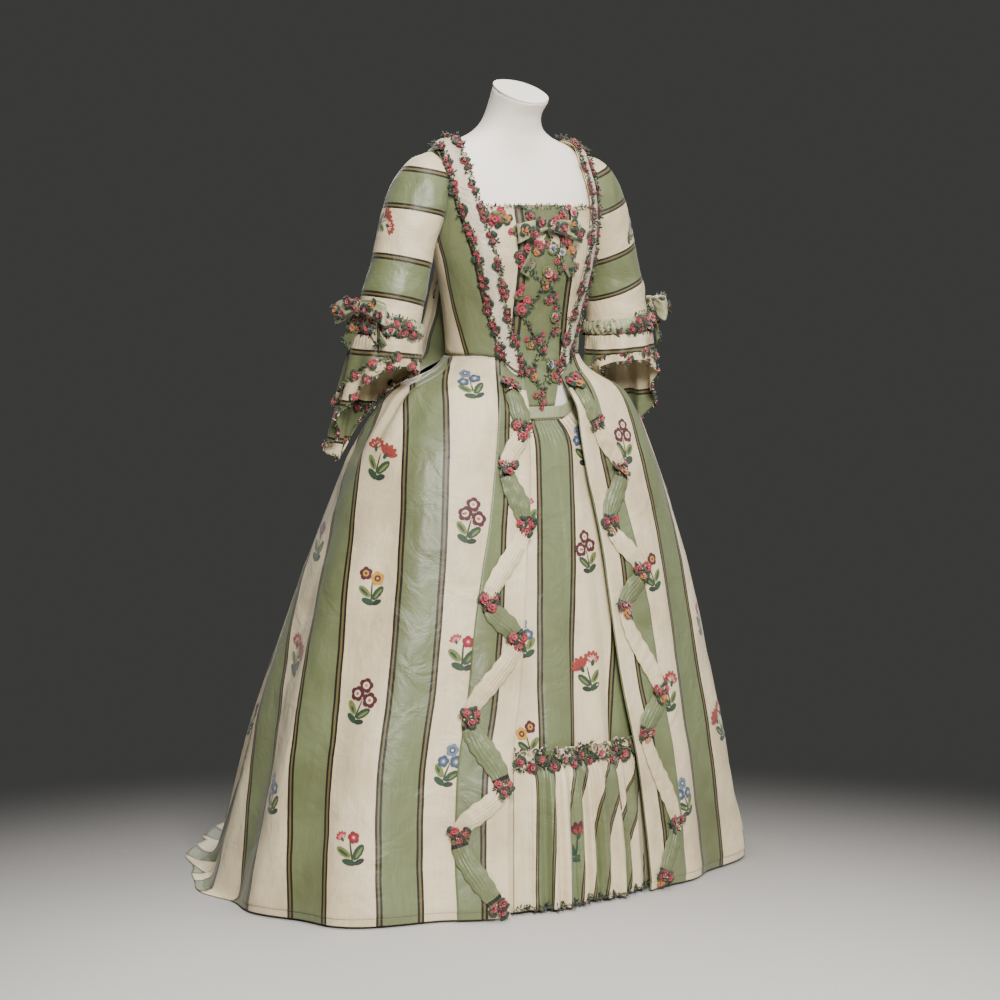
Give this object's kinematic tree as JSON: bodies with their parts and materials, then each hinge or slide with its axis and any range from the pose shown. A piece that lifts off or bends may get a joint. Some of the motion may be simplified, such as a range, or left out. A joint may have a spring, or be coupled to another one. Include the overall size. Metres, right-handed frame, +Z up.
{
  "type": "robe a la francaise on a limbless dress form",
  "caption": "Open-front striped silk gown with box-pleated sack back and train over a petticoat, elbow sleeves with ruffles and bows, on a limbless dress form with a pole stand.",
  "frame": {"origin": "on the floor at the middle of the stand base's underside", "axes": "+Z up; the figure faces -Y, with its left side towards +X"},
  "size_m": [1.1097, 1.0617, 1.4497],
  "materials": {
    "form": "smooth off-white",
    "stand_metal": "satin grey",
    "striped_silk": "satin, green and cream stripes with brocaded sprigs",
    "cream_silk": "plain silk with a soft sheen",
    "pale_green_silk": "plain silk with a soft sheen"
  },
  "bodies": {
    "root": {"stand_base": "stand_metal", "stand_pole": "stand_metal", "form_torso": "form", "neck_cap": "form", "petticoat_waistband": "pale_green_silk", "petticoat": "striped_silk", "petticoat_flounce": "striped_silk", "stomacher": "striped_silk", "sack_back": "striped_silk", "skirt_right": "striped_silk", "front_band_right": "striped_silk", "bodice_front_right": "striped_silk", "robing_right": "striped_silk", "sleeve_right": "striped_silk", "ruffle_upper_right": "striped_silk", "serpentine_right": "cream_silk", "ruffle_lower_right": "cream_silk", "cuff_band_right": "pale_green_silk", "skirt_left": "striped_silk", "front_band_left": "striped_silk", "bodice_front_left": "striped_silk", "robing_left": "striped_silk", "sleeve_left": "striped_silk", "ruffle_upper_left": "striped_silk", "serpentine_left": "cream_silk", "ruffle_lower_left": "cream_silk", "cuff_band_left": "pale_green_silk", "stomacher_bow_loops": "pale_green_silk", "stomacher_bow_knot": "pale_green_silk", "stomacher_bow_tails": "pale_green_silk", "sleeve_bow_right_loops": "pale_green_silk", "sleeve_bow_right_knot": "pale_green_silk", "sleeve_bow_right_tails": "pale_green_silk", "sleeve_bow_left_loops": "pale_green_silk", "sleeve_bow_left_knot": "pale_green_silk", "sleeve_bow_left_tails": "pale_green_silk"}
  },
  "joints": []
}
